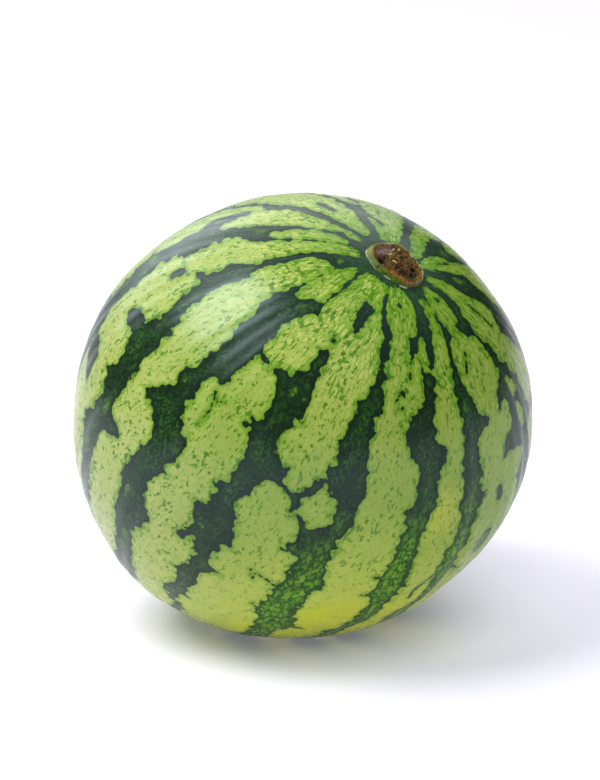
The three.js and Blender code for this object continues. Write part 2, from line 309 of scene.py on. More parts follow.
# The stripes
# Light streaks grow from the stem end to the blossom end between dark ones. Each is given by rows:
# degrees from the stem end, then the streak's west and east edges in degrees round the axis.
# Neighbours lie on different layers (0 or 1), so that the dark line between them stays sharp.
LIGHT_STREAKS = [
    # The far left streak, mostly in glare
    (0, True, [(12, -186, -176), (14, -187, -173.5), (18, -187.5, -172.5), (20, -190, -172),
               (25, -190.5, -172.5), (30, -191, -171), (35, -191, -170), (41, -190.5, -168.5),
               (46, -190, -169), (58, -188.5, -171)]),
    # Second from the left
    (1, True, [(10.5, -164, -160.5), (16, -165, -160.5), (17.5, -165, -157), (20, -164.3, -153.5),
               (23, -164, -151.3), (27, -164, -149.8), (31, -163.8, -148.5), (35, -163, -147.3),
               (38, -161.5, -146.5), (39, -163.5, -146.2), (44, -164.5, -146), (47.5, -164.6, -146.5),
               (49, -164.7, -147.5), (53, -164.5, -148.3), (55, -164, -147.5), (58, -163.5, -145.5),
               (61, -163, -144.3), (65, -161, -144.5), (67.5, -160, -146.3), (70, -158, -143.7),
               (73, -157, -142.2), (77, -156, -141), (85, -156, -142)]),
    # A short one beside the third
    (0, False, [(13, -150.5, -144), (15, -151, -142.8), (18, -151, -141), (21, -150, -139.2),
                (23.5, -148.5, -138.3), (27, -145, -137.8), (30, -142.7, -137.6), (32.3, -141, -138.5)]),
    # Third, upper part
    (1, False, [(9.5, -141, -127.5), (12, -142, -126.5), (15, -141, -126), (18, -138.7, -127.3),
                (21, -137, -126.7), (24, -136.3, -125.6), (27, -136, -124.5), (30, -135.7, -122.8),
                (33, -135.5, -122.3), (37, -136, -122), (39, -138.7, -124), (42, -139, -123.7),
                (45, -138.3, -123), (48, -137.3, -124), (51, -136, -125.5), (54.5, -135, -128.5)]),
    # Third, lower part
    (0, True, [(50, -125.7, -119.5), (52, -127, -118), (54.5, -127.5, -117.2), (55.3, -136.5, -116.8),
               (57, -137, -115.8), (60, -137.2, -115), (63, -137, -114.8), (65.5, -135.5, -115.8),
               (67, -135, -117.5), (70, -133.6, -118), (71, -133.5, -116), (73.5, -133.5, -113),
               (76, -133, -111.5), (79, -132.5, -111.5), (81, -131.5, -113), (83, -130.5, -110.3),
               (85.5, -129, -108.7), (87, -127, -108.3), (90, -127.5, -108.7), (93, -128, -109.5),
               (95, -127.5, -110.3), (98, -127, -109), (101, -126.5, -107.5), (105, -126, -105.5),
               (110, -125, -104.5), (124, -123, -105)]),
    # Fourth, the long one
    (0, True, [(16.8, -112.5, -105.5), (18, -117.5, -105), (20, -119.5, -104), (22, -121.7, -102.5),
               (24.5, -120.5, -101.5), (28, -118.8, -101), (30.5, -118.3, -100.7), (32.5, -118, -102),
               (35, -117, -102), (37, -115, -99.5), (39.5, -114.3, -97.3), (43, -114.5, -96),
               (46, -114, -95), (50, -112.5, -93.8), (53, -111, -94), (56.5, -108.5, -93),
               (60, -107, -94.3), (63, -106.5, -94), (66, -104.8, -94.3), (68, -105.8, -95),
               (70, -105.7, -97.3), (72, -104.7, -97.8), (73, -104.3, -96.5), (74.5, -104.1, -91),
               (77, -103.6, -88.6), (80, -103, -88.3), (82.5, -102.7, -88.8), (85, -101.8, -88.5),
               (87.5, -100, -88.8), (90, -100.3, -89.6), (93, -101, -89), (96, -100.7, -88),
               (100, -100.4, -87.5), (104, -99.3, -86.7), (107, -98.8, -85), (110, -98, -84.5),
               (114, -97.3, -83.8), (124, -97, -84)]),
    # A short one at its head
    (1, False, [(10.5, -108, -103), (12.5, -107.5, -95), (14.5, -106, -92), (16, -105.3, -89.5),
                (17.5, -104.8, -87), (20, -103.5, -86), (22.5, -101.5, -85.5), (24.5, -100.5, -86),
                (25.3, -100.2, -91), (26.5, -99.3, -92.8), (28.3, -97.5, -94)]),
    # The broad head of the fifth and sixth
    (0, False, [(7.5, -88, -44), (9, -93.5, -45), (10, -93.5, -47.3), (11, -92.5, -47.5),
                (12.5, -89.5, -49.5), (14.3, -86.5, -49.7), (16, -84.3, -47.5), (18, -83.3, -45.2),
                (20, -83.5, -42.8), (22, -83, -41.7), (24, -81, -41.2), (26.5, -80, -40.8)]),
    # Fifth, upper part
    (1, False, [(20, -81, -66), (26.5, -80, -65.5), (28.5, -83, -66), (30, -84.2, -65.2), (33, -85.4, -66),
                (36, -85.6, -66.6), (38.5, -85.3, -66.3), (41, -84.8, -68), (42.5, -82.5, -73)]),
    # Fifth, lower part
    (0, True, [(44.3, -82, -74.5), (45.5, -83.2, -72.3), (48, -83.4, -69.7), (50.5, -83.2, -67.6),
               (53, -83.4, -67), (54.8, -84, -67.3), (56, -88, -69.5), (58, -88.8, -70.5),
               (60, -87.6, -67.7), (63, -87.5, -66), (66, -86, -65.3), (69.3, -83.8, -65),
               (70.5, -80.6, -65.3), (73, -79.3, -66.4), (75, -78.4, -67.3), (77, -79, -66.4),
               (79.5, -80, -66.8), (81.5, -79.5, -68.6), (83.5, -80, -68.6), (86.5, -81.1, -67.3),
               (90, -80.8, -67), (92, -80.2, -64), (94.3, -78.8, -63), (96, -76.2, -62.7),
               (99, -76.3, -62.8), (102, -77.3, -64), (103.5, -79.2, -65.8), (106, -79, -64.5),
               (109, -77.3, -63.3), (112, -77, -64), (115, -76.7, -64.8), (118, -75.5, -65),
               (121, -75, -63), (126, -74.3, -61)]),
    # Sixth, upper part
    (1, False, [(20, -56, -43.5), (24, -60, -41.2), (27, -63.5, -40.7), (30, -63.3, -39.7),
                (33, -62, -38.8), (35, -61.2, -39.8), (38, -61.3, -41.8), (39.5, -60.5, -43.2),
                (41.5, -59.3, -42), (44, -58.3, -42.2), (47.5, -57.3, -42.8), (49.5, -57.7, -43.6),
                (51.5, -59.5, -43.6), (54.5, -60.2, -42.3), (56.5, -60, -43.3), (59.8, -58.3, -44),
                (61.5, -54, -45), (63.5, -53, -47), (65.5, -50.3, -48.3)]),
    # The island beside it
    (1, False, [(61.3, -43, -41), (62.5, -44, -39.3), (63.5, -44.3, -38), (65.5, -45.7, -37.3),
                (68, -45.8, -37), (70, -45, -37.3), (71.8, -43, -38.5)]),
    # Sixth, lower part
    (0, True, [(65.8, -55.5, -53.3), (66.8, -57.5, -49.8), (68.5, -59, -48.6), (70, -59, -47.5),
               (71.5, -59.3, -45), (73.5, -59.8, -43.3), (76.5, -60, -43), (79, -59.7, -44),
               (80.3, -58.3, -43.5), (81.5, -57.6, -41), (84.5, -57, -40), (87.5, -55.8, -40.4),
               (89.5, -57.7, -40.5), (92.5, -58.5, -41.3), (95, -58.2, -41.8), (97.5, -56, -41.7),
               (100, -57.5, -41.8), (103, -59, -42.3), (106, -58.5, -40.7), (109, -59.2, -39.7),
               (112, -59, -38.8), (115, -58, -38.4), (116.5, -60.5, -38.2), (119, -60.7, -38),
               (121.5, -59, -38), (125, -56.5, -38)]),
    # Seventh
    (1, True, [(7.5, -50, -18), (9, -48, -14.5), (10, -46.2, -13.2), (11, -45.5, -12.5),
               (13.5, -44.5, -12.8), (15.5, -41.8, -13.8), (17.5, -39.8, -14.7), (19, -37, -15.7),
               (20, -34.5, -17), (20.8, -34.3, -22.5), (24, -35.3, -22.7), (27, -35.3, -22.2),
               (30.5, -35, -22.3), (31.5, -35, -16), (34, -34.5, -15.5), (36, -33.5, -16.5),
               (38, -33, -17.8), (39.7, -33.2, -19), (40.8, -34.2, -22.3), (43, -34.6, -22.7),
               (45, -34, -21.3), (48, -34, -20), (49.8, -34, -19.3), (50.6, -34, -16.5), (52.5, -33.5, -15),
               (54.8, -32, -14.4), (57, -31.3, -14.6), (60, -31, -15.5), (62, -31.3, -15.7),
               (63.3, -32, -16.8), (66, -31.8, -16.5), (68, -31, -15.9), (70, -31.7, -15.8),
               (73, -32.4, -16.2), (76, -32.2, -16.3), (79, -33, -16.2), (81.5, -32.4, -16.5),
               (83.5, -31.3, -17.6), (85, -31, -16.6), (88, -30.5, -16.3), (90.2, -31, -18),
               (91, -31.4, -15.6), (94, -31.7, -15), (98, -32.2, -15), (102, -32, -15.5),
               (105, -30.7, -15.4), (108, -29, -16), (110, -28.3, -17.7), (112, -30, -18.3),
               (121, -30.5, -19), (125, -29, -19)]),
    # Two short ones beside its head
    (0, False, [(24.2, -20.2, -17.8), (25.5, -21, -17), (28, -21.3, -16.3), (31, -22.5, -15.8),
                (34, -24, -15.5), (36, -24, -16.5), (38, -23.5, -17.8), (39.8, -22.3, -19)]),
    (0, False, [(19.8, -13.3, -11.8), (21, -14.8, -11.6), (23, -15.8, -11.8), (25.5, -16, -11.7),
                (27.5, -15.6, -12.2), (29, -14.8, -13)]),
    # Eighth
    (0, True, [(10.5, 0.5, 7), (13, 0.8, 9), (15.5, 0.5, 8.5), (17, -1.5, 7), (19, -2, 6.3), (21, -4, 5.8),
               (23, -6, 4.6), (25, -7.2, 3.2), (28, -8.6, 1.4), (31, -9.2, 0.8), (34.5, -9.6, 0.3),
               (37.5, -10.4, -0.2), (40, -10.6, 0.8), (43, -10.2, 1.8), (45.5, -9, 2.1), (47, -8.3, 2),
               (48.5, -5.5, 1.8), (50, -5.5, 1.5), (52, -7.2, 0.6), (54, -8.3, 0.4), (56, -8.7, 1.4),
               (59, -8.5, 2), (61.5, -8.2, 1), (63, -8.4, 0), (64.5, -8.7, 1.7), (68, -9.3, 2.4),
               (72, -9.6, 2.5), (75, -9.5, 1.5), (76.5, -8.7, 0.7), (80, -8.9, 0.6), (82.5, -9, 1),
               (85, -8.5, 0.6), (87, -8.3, 1.4), (90, -8.2, 1.5), (94, -8.8, 1.2), (97, -9.3, 0),
               (99.5, -9.5, -2.5), (102.5, -9.5, -4.5), (118, -11, -5)]),
    # Ninth, upper part
    (1, False, [(8.3, 24, 30), (9.5, 18, 33), (11, 14, 33.3), (13, 11.5, 33), (15, 10.5, 31.8),
                (16.5, 9.5, 30.3), (18, 11, 28.3), (19.3, 13, 27), (20.3, 13.5, 20.5), (22, 13.5, 21),
                (23, 9.5, 22), (24.2, 7, 24), (25.2, 6, 29), (27, 5.5, 30.2), (30, 6, 30.6),
                (33, 6.8, 30.8), (35.2, 8, 30.5), (37, 9.2, 30.3), (39, 9.3, 28.5), (40.3, 9.3, 25.3),
                (41.8, 10, 23.8), (42.3, 14, 23.3), (44, 15.3, 21.3), (44.9, 17, 20)]),
    # Ninth, lower part
    (0, True, [(42.5, 25, 27), (43.7, 22.5, 27.7), (44.8, 14, 28), (46, 11.5, 28.2), (47.5, 9.5, 28.3),
               (49.5, 8.2, 27.7), (51.3, 8.3, 24.5), (52.3, 8.8, 20.3), (56.3, 9.3, 20.3),
               (57.3, 9.4, 31.3), (60, 9.6, 32), (62, 12, 31.8), (63.5, 11, 30), (65, 10, 27),
               (67, 9.3, 28.5), (70, 8.6, 29.5), (74, 8.3, 30), (78, 8, 30), (81, 6.8, 29.5),
               (84.5, 6.8, 27), (92, 6, 25), (106, 4, 22)]),
    # Two islands in the dark on the right
    (1, False, [(39.5, 32.5, 34.5), (41, 32, 36), (43.5, 32.3, 37), (45, 33.5, 36.5)]),
    (1, False, [(46.3, 33.5, 35.5), (48.5, 32.5, 36.8), (51, 32.3, 37), (53, 33.5, 36), (54, 34.5, 35.5)]),
    # Tenth, and what follows it round the side
    (0, False, [(8.5, 48, 56), (10, 46.3, 58), (12.5, 46.3, 59.3), (14.5, 42.5, 58.5), (17, 40.5, 57),
                (19, 39.3, 57.3), (20, 36, 57.2), (22, 34, 57.5), (24.5, 32.7, 59), (27.5, 33, 60.2),
                (29.5, 35.3, 59.7), (31.5, 36.8, 56), (33.5, 36, 50), (35.5, 36, 52.3), (38, 38.7, 53.3),
                (41, 40.5, 55.5), (43, 42.5, 57), (46, 42, 58.5), (49, 41, 59.5), (51, 42, 58),
                (54, 44, 57)]),
    (1, True, [(55.5, 38.5, 46), (58, 38, 48), (61, 39, 50), (66, 38, 51), (72, 37, 50), (80, 36, 49)]),
    # Round the back, from their heads near the stem end
    (1, True, [(8, 77, 88), (10, 74.5, 93.5), (12.5, 74.5, 95), (15, 75.5, 95), (17.5, 76.3, 93.5),
               (19.5, 77, 89), (22, 77.8, 88.5), (24, 75.5, 88.8), (26, 72.3, 89.3), (30, 70.5, 91),
               (35, 70, 93), (50, 71, 91)]),
    (0, True, [(7.8, 96, 111), (10, 96.5, 116.5), (12, 104, 120.5), (14, 106, 123), (16, 109.5, 124),
               (18, 111, 124.5), (22, 112, 124.3), (31, 112, 122.5), (38, 112, 123)]),
    (1, True, [(24, 97, 99.5), (26, 96, 105), (29, 96, 107), (34, 95.5, 108), (42, 96, 108)]),
    (1, True, [(9.5, 136.5, 152), (13, 134.3, 152), (17, 134, 151), (20.5, 133.8, 150), (25, 133, 148),
               (29, 132.3, 149), (33, 132, 155), (38, 132, 156)]),
    (0, False, [(18.8, 151.3, 153.5), (21, 150, 156), (24, 149, 157.3), (27.5, 149, 157),
                (31, 149.5, 155.5)]),
    (0, False, [(9, 156, 161.5), (12, 153.7, 162.3), (15, 153.2, 162), (17.5, 155.5, 162),
                (19.5, 157.5, 161.5)]),
    (1, True, [(27.5, 159.5, 161.5), (30, 157.5, 163.5), (34, 157, 165), (40, 157, 165.5)]),
]

# Dark spots and wedges inside the light streaks, in rows of the same kind.
DARK_SPOTS = [
    [(24, -180.5, -178.5), (27, -181, -178), (30.5, -180.5, -178.5)],
    [(42, -159, -156.5), (44, -159, -155.5), (45.5, -158.5, -151.5), (47, -157.5, -150.5),
     (48.5, -156.5, -145), (50, -156, -145), (52, -154.5, -148), (53, -152, -149.5)],
    [(54, -129.5, -127), (56, -129.8, -127), (58, -129, -127.5)],
    [(67, -121, -114), (69, -123.5, -114), (71, -124.7, -118.5), (72, -124.5, -123.5)],
    [(85, -121, -119.5), (86.5, -129.5, -119.5), (88.5, -130, -119), (90, -127.5, -117.5),
     (91.3, -120.5, -117)],
    [(85.5, -102, -99.5), (87, -102.5, -95.3), (88.5, -101.5, -97.5), (89.5, -101.5, -99.8)],
    [(15.3, -63.5, -59.5), (16.2, -64.3, -53), (17, -62.8, -54), (18.5, -63.7, -55.7), (20.5, -62.4, -56.2),
     (22.5, -61.5, -56), (23.7, -59.5, -56), (24.5, -57.5, -56.5)],
    [(90.5, -67, -65.5), (92, -68.7, -66.3), (93.5, -68.5, -66.5)],
    [(11.5, -31.5, -28.5), (13, -31.5, -28.5)],
    [(77, 17.5, 19.5), (79, 15.5, 20.5), (82, 15.5, 19.5), (84, 15.5, 17)],
    [(63.3, 18, 19.5), (65, 17.8, 20), (68, 19, 20.3)],
    [(12, 23.5, 26.5), (13.5, 23.5, 26.5)],
]

# Thin dark veins across the light streaks: half width in mm, then points (from the stem end, round).
DARK_VEINS = [
    (0.35, [(57.2, -83.6), (59.5, -81.6), (62, -80.7), (65.8, -80.4)]),
    (0.3, [(59.8, -81.4), (57.8, -79.4)]),
    (0.5, [(92.8, -41.5), (91.4, -45), (92, -48), (90.8, -48.6)]),
    (0.4, [(91.8, -47.6), (93.6, -47)]),
    (0.5, [(97.2, -56.5), (97.6, -54.3)]),
    (0.5, [(103.6, -42), (102.5, -43.4)]),
    (0.5, [(80.6, -43), (80.9, -45)]),
    (0.8, [(85.3, 0.3), (87.5, -2), (90, -3.6), (93, -3)]),
    (0.6, [(27, 16), (29.5, 12.5), (31.5, 10.5)]),
    (0.6, [(83.5, 6.3), (85.6, 9), (87.8, 12.7)]),
    (0.6, [(21, 48.6), (25, 49), (30, 49.3)]),
    (0.6, [(14, 85.3), (16.5, 86), (19, 87)]),
    (0.5, [(28, -66), (29.5, -64.8)]),
    (0.5, [(24, -22.2), (31, -22.6)]),
    (0.5, [(35, -24.6), (33.8, -26), (36.5, -28)]),
    (0.4, [(37.8, -24.6), (38.2, -25.6)]),
    (0.6, [(83.4, -16), (83.5, -18.6)]),
    (0.6, [(90.2, -16), (90.5, -18.6)]),
    (0.6, [(110.3, -28), (110.8, -25.8)]),
]
STREAK_BOW = 0.14
PATTERN_REACH = 12
DEGREES_PER_MM = 0.6
BLOSSOM_STREAK_END = 171


def grown_on(rows, draw):
    """Carries a streak on from its last row to the blossom end, with edges that wander a little."""
    rows = list(rows)
    degrees, west, east = rows[-1]
    middle, half = (west + east) / 2, (east - west) / 2
    while degrees < BLOSSOM_STREAK_END - 8:
        degrees += draw.uniform(3.5, 7)
        middle += draw.uniform(-0.7, 0.7)
        wide = half * draw.uniform(0.78, 1.12)
        rows.append((degrees, middle - wide, middle + wide))
    rows.append((BLOSSOM_STREAK_END, middle - half * 0.5, middle + half * 0.5))
    return rows


def outline(rows):
    """The closed outline through the rows, (longitude, from the stem end), clockwise on the skin."""
    east_side = [(east, degrees) for degrees, west, east in rows]
    west_side = [(west, degrees) for degrees, west, east in reversed(rows)]
    return np.array(east_side + west_side, float)


def bowed(corners):
    """The outline with each stretch bowed outwards, so that its corners inwards become sharp clefts."""
    points = []
    for here, there in zip(corners, np.roll(corners, -1, axis=0)):
        squeeze = math.sin(math.radians((here[1] + there[1]) / 2))
        step = (there - here) * (squeeze, 1)
        length = math.hypot(*step)
        outwards = np.array([step[1], -step[0]]) / max(length, 1e-6)
        for share in np.arange(0, 1, 1 / max(2, math.ceil(length * 4))):
            bulge = outwards * (4 * share * (1 - share) * STREAK_BOW * length)
            points.append(here + (there - here) * share + bulge / (squeeze, 1))
    return np.array(points)


def on_sphere(lon_degrees, stem_degrees):
    """Places on a sphere of the fruit's radius, in mm, from degrees round and degrees from the stem end."""
    lon, stem = np.radians(lon_degrees), np.radians(stem_degrees)
    level = EQUATOR_RADIUS * np.sin(stem)
    return np.stack([level * np.cos(lon), level * np.sin(lon), EQUATOR_RADIUS * np.cos(stem)], axis=-1)


def distances(places, points):
    """Distance in mm from each place to the nearest of the points."""
    tree = kdtree.KDTree(len(points))
    for i, point in enumerate(points):
        tree.insert(point, i)
    tree.balance()
    return np.array([tree.find(place)[2] for place in places])


lon_degrees = np.degrees(longitude)
stem_degrees = np.degrees(from_stem)
sphere_places = on_sphere(lon_degrees, stem_degrees)


def inside_distance(corners):
    """Signed distance in mm of every vertex to an outline: positive inside, and a floor far away."""
    border = bowed(corners)
    centre = (border[:, 0].min() + border[:, 0].max()) / 2
    lon = (lon_degrees - centre + 180) % 360 - 180 + centre
    field = np.full(len(lon), -float(PATTERN_REACH))
    margin = PATTERN_REACH * DEGREES_PER_MM
    near = (stem_degrees > border[:, 1].min() - margin) & (stem_degrees < border[:, 1].max() + margin)
    round_margin = margin / np.maximum(np.sin(from_stem), 0.05)
    near &= (lon > border[:, 0].min() - round_margin) & (lon < border[:, 0].max() + round_margin)
    chosen = np.flatnonzero(near)
    away = distances(sphere_places[chosen], on_sphere(border[:, 0], border[:, 1]))
    x, y = lon[chosen], stem_degrees[chosen]
    inside = np.zeros(len(chosen), bool)
    for (x0, y0), (x1, y1) in zip(border, np.roll(border, -1, axis=0)):
        if y0 != y1:
            crossing = (y0 > y) != (y1 > y)
            inside ^= crossing & (x < (x1 - x0) * (y - y0) / (y1 - y0) + x0)
    field[chosen] = np.where(inside, away, -away)
    return field


def vein_distance(half_width, points):
    """Signed distance in mm of every vertex to a thin stroke through the points."""
    stroke = []
    for (stem0, lon0), (stem1, lon1) in zip(points, points[1:]):
        for share in np.arange(0, 1.001, 0.05):
            stroke.append((lon0 + (lon1 - lon0) * share, stem0 + (stem1 - stem0) * share))
    stroke = np.array(stroke)
    middle = on_sphere(*stroke.mean(axis=0))
    chosen = np.flatnonzero(np.linalg.norm(sphere_places - middle, axis=1) < 25)
    field = np.full(len(sphere_places), -float(PATTERN_REACH))
    field[chosen] = half_width - distances(sphere_places[chosen], on_sphere(stroke[:, 0], stroke[:, 1]))
    return field


draw = random.Random(11)
light_layers = [np.full(len(lon_degrees), -float(PATTERN_REACH)) for _ in range(2)]
for layer, goes_on, rows in LIGHT_STREAKS:
    if goes_on:
        rows = grown_on(rows, draw)
    light_layers[layer] = np.maximum(light_layers[layer], inside_distance(outline(rows)))
dark_layer = np.full(len(lon_degrees), -float(PATTERN_REACH))
for rows in DARK_SPOTS:
    dark_layer = np.maximum(dark_layer, inside_distance(outline(rows)))
for half_width, points in DARK_VEINS:
    dark_layer = np.maximum(dark_layer, vein_distance(half_width, points))


def keep_attribute(mesh, name, values):
    attribute = mesh.attributes.new(name, "FLOAT", "POINT")
    attribute.data.foreach_set("value", values.astype(np.float32))


keep_attribute(rind_mesh, "light_one", light_layers[0])
keep_attribute(rind_mesh, "light_two", light_layers[1])
keep_attribute(rind_mesh, "dark_spots", dark_layer)

# Where a place is on the fruit: the cosine and sine of the turn round the axis, and the angle from
# the stem end, in radians.
grain = rind_mesh.attributes.new("grain", "FLOAT_VECTOR", "POINT")
grain_values = np.stack([np.cos(longitude), np.sin(longitude), from_stem], axis=1)
grain.data.foreach_set("vector", grain_values.astype(np.float32).ravel())


# The rind's finish
# A living plant skin under a thin natural wax: smooth, with a soft broad gloss and fine pores.
# The green lies in cells, so each light streak is edged with small round lobes and flecked darker.
MM = 0.001
# Sizes of the cells and patches in mm: round ones, and lengthwise ones as width and length. Real
# pores are too fine to show, so they are drawn coarser.
LOBE = 5
SMALL_LOBE = 2.2
PORE = 0.6
WISP = (0.8, 6)
BLOTCH = (1.3, 1.8)
PALE_CELL = (1.3, 6)
STROKE_CELL = (2.4, 5.6)
FLECK_CELL = (3.2, 5.2)
CLUSTER_CELL = (8, 13)
SEED = (0.9, 1.4)
VEIN_CELL = (2.6, 4.6)
# Radius in mm at which a turn round the fruit is counted: near its ends, farther on, and farthest
GRAIN_RADII = (18, 45, 100)
# Places on the fruit in mm: the middles of the ground spot, its yellow part, and a sunned patch
GROUND_MIDDLE = (5, -40, 0)
YELLOW_MIDDLE = (15, -40, 0)
SUNNED_MIDDLE = (58, -78, 76)


def waxy_striped_rind():
    """Waxed living skin: light and dark green where the mesh keeps its streaks, and yellow below."""
    material, add = new_material("waxy_striped_rind")
    grain = add("Attribute", attribute_name="grain", out="Vector")
    from_stem = add("SeparateXYZ", grain, out="Z")

    def all_of(*shares):
        """The product of several shares, which is large only where all of them are."""
        product = shares[0]
        for share in shares[1:]:
            product = add("Math", product, share, operation="MULTIPLY")
        return product

    # Places in mm: in the round, and along the grain, where a turn round the fruit counts less near
    # its ends, in three steps
    in_mm = add("VectorMath", add("TexCoord", out="Object"), (1000, 1000, 1000), operation="MULTIPLY")
    to_blossom = add("Math", math.pi, from_stem, operation="SUBTRACT")
    to_end = add("Math", from_stem, to_blossom, operation="MINIMUM")
    to_end = add("Math", to_end, 0.06, operation="SUBTRACT")
    to_end = add("Math", add("TexNoise", in_mm, 0.2, 1), 0.12, to_end, operation="MULTIPLY_ADD")
    beyond_middle = add("Math", to_end, 0.25, operation="GREATER_THAN")
    beyond_outer = add("Math", to_end, 0.6, operation="GREATER_THAN")
    near, farther, farthest = GRAIN_RADII
    ring = add("Math", beyond_middle, farther - near, near, operation="MULTIPLY_ADD")
    ring = add("Math", beyond_outer, farthest - farther, ring, operation="MULTIPLY_ADD")
    grain_size = add("CombineXYZ", ring, ring, EQUATOR_RADIUS)
    along = add("VectorMath", grain, grain_size, operation="MULTIPLY")
    bend = add("TexNoise", in_mm, 0.7, 1, out="Color")
    bend_size = add("MapRange", to_end, 0.2, 0.9, 0.5, 1.6, interpolation_type="SMOOTHSTEP")
    bend = add("VectorMath", bend, bend_size, operation="SCALE")
    along = add("VectorMath", along, bend, operation="ADD")

    def lengthwise(width, length):
        """Places along the grain, for a pattern so many mm wide round the fruit and long along it."""
        return add("Mapping", along, named={"Scale": (1 / width, 1 / width, 1 / length)})

    # The border of light and dark, in mm into the light: the drawn streaks, with lobes at two sizes,
    # fewer of them near the ends, and wisps where the streaks begin
    light_one = add("Attribute", attribute_name="light_one", out="Fac")
    light_two = add("Attribute", attribute_name="light_two", out="Fac")
    border = add("Math", light_one, light_two, operation="MAXIMUM")
    lobe_share = add("MapRange", to_end, 0.2, 0.85, 0.35, 1, interpolation_type="SMOOTHSTEP")
    lobe_places = add("Mapping", in_mm, named={"Scale": (1 / LOBE,) * 3, "Location": (7, 3, 5)})
    lobes = add("Math", 0.45, add("TexVoronoi", lobe_places, 1), operation="SUBTRACT")
    border = add("Math", all_of(lobes, lobe_share), 4, border, operation="MULTIPLY_ADD")
    small_lobes = add("TexVoronoi", in_mm, 1 / SMALL_LOBE)
    small_lobes = add("Math", 0.45, small_lobes, operation="SUBTRACT")
    border = add("Math", all_of(small_lobes, lobe_share), 1.2, border, operation="MULTIPLY_ADD")
    wisps = add("Math", add("TexNoise", lengthwise(*WISP), 1), 0.52, operation="SUBTRACT")
    wisp_height = add("MapRange", from_stem, 0.1, 0.34, 5.5, 0, interpolation_type="SMOOTHSTEP")
    border = add("Math", wisps, wisp_height, border, operation="MULTIPLY_ADD")
    dark_spots = add("Attribute", attribute_name="dark_spots", out="Fac")
    dark_spots = add("Math", small_lobes, -1.2, dark_spots, operation="MULTIPLY_ADD")
    off_spots = add("Math", dark_spots, -1, operation="MULTIPLY")
    border = add("Math", border, off_spots, operation="MINIMUM")
    lightness = add("MapRange", border, -0.22, 0.22, interpolation_type="SMOOTHSTEP")

    # Where on the fruit: towards the stem, the ground spot, its yellow part, and the sides for painted
    # light and shade
    near_stem = add("MapRange", from_stem, 0.25, 1, 1, 0, interpolation_type="SMOOTHSTEP")
    upper = add("MapRange", from_stem, 0.5, 1.1, 1, 0, interpolation_type="SMOOTHSTEP")
    ground_away = add("VectorMath", in_mm, GROUND_MIDDLE, operation="DISTANCE")
    near_ground = add("MapRange", ground_away, 50, 112, 1, 0, interpolation_type="SMOOTHSTEP")
    yellow_away = add("VectorMath", in_mm, YELLOW_MIDDLE, operation="DISTANCE")
    yellow_away = add("Math", add("TexNoise", in_mm, 1 / 18), 14, yellow_away, operation="MULTIPLY_ADD")
    on_ground = add("MapRange", yellow_away, 48, 66, 1, 0, interpolation_type="SMOOTHSTEP")
    sunned_away = add("VectorMath", in_mm, SUNNED_MIDDLE, operation="DISTANCE")
    sunned_away = add("Math", add("TexNoise", in_mm, 1 / 8), 8, sunned_away, operation="MULTIPLY_ADD")
    sunned = add("MapRange", sunned_away, 7, 22, 0.55, 0, interpolation_type="SMOOTHSTEP")
    to_right = add("SeparateXYZ", in_mm, out="X")
    low_away = add("Math", to_right, -0.3, ground_away, operation="MULTIPLY_ADD")
    # Painted light: the left side, towards the key light, is painted paler
    painted_light_on_left = add("MapRange", to_right, -20, -75, 0, 0.65, interpolation_type="SMOOTHSTEP")
    off_ground = add("Math", 1, near_ground, operation="SUBTRACT")
    # Painted shade: the right side, away from the key light, is painted darker
    painted_shade_on_right = add("MapRange", to_right, 10, 50, 0, 0.5, interpolation_type="SMOOTHSTEP")
    half_off_ground = add("Math", near_ground, -0.5, 1, operation="MULTIPLY_ADD")

    # Light streaks: soft blotches, a green net between pale cells near the stem, a greener rim,
    # and short dark strokes and forks where the cells meet
    blotch_share = add("Math", near_ground, -0.4, 0.55, operation="MULTIPLY_ADD")
    blotches = add("TexNoise", lengthwise(*BLOTCH), 1)
    blotches = add("MapRange", blotches, 0.47, 0.66, interpolation_type="SMOOTHSTEP")
    net = add("TexVoronoi", lengthwise(*PALE_CELL), 1, feature="DISTANCE_TO_EDGE")
    net = add("Math", add("TexNoise", lengthwise(0.9, 4), 1), 0.6, net, operation="MULTIPLY_ADD")
    net = add("MapRange", net, 0.35, 0.5, 1, 0, interpolation_type="SMOOTHSTEP")
    net_share = add("Math", near_stem, 0.7, all_of(upper, 0.25), operation="MULTIPLY_ADD")
    heads = add("MapRange", from_stem, 0.12, 0.5, 0.9, 0, interpolation_type="SMOOTHSTEP")
    head_streaks = add("TexNoise", lengthwise(0.7, 6), 1)
    head_streaks = add("MapRange", head_streaks, 0.48, 0.58, interpolation_type="SMOOTHSTEP")
    rim = add("Math", add("TexNoise", in_mm, 1 / 2), 1.6, border, operation="MULTIPLY_ADD")
    rim = add("MapRange", rim, 0.8, 3.6, 0.9, 0, interpolation_type="SMOOTHSTEP")
    crowded = add("Math", add("TexNoise", in_mm, 1 / 10, 1), 0.5, operation="SUBTRACT")
    crowded = add("Math", near_stem, 0.25, crowded, operation="MULTIPLY_ADD")
    near_border = add("MapRange", border, 0.6, 2.4, 0.22, 0, interpolation_type="SMOOTHSTEP")
    kept_at = add("Math", crowded, near_border, operation="ADD")
    kept = add("TexNoise", lengthwise(1.9, 3), 1, 1)
    kept = add("Math", kept_at, 0.25, kept, operation="MULTIPLY_ADD")
    kept = add("MapRange", kept, 0.58, 0.64, interpolation_type="SMOOTHSTEP")
    strokes = add("TexVoronoi", lengthwise(*STROKE_CELL), 1, feature="DISTANCE_TO_EDGE")
    strokes = add("MapRange", strokes, 0.1, 0.22, 1, 0, interpolation_type="SMOOTHSTEP")
    fewer = add("Math", on_ground, -0.4, half_off_ground, operation="MULTIPLY_ADD")
    fewer = all_of(fewer, 0.9)
    fleck_away = add("TexVoronoi", lengthwise(*FLECK_CELL), 1)
    chance = add("SeparateColor", fleck_away.node.outputs["Color"])
    fleck_size = add("Math", crowded, 0.3, 0.25, operation="MULTIPLY_ADD")
    larger = add("MapRange", chance, 0.5, 0.9, interpolation_type="SMOOTHSTEP")
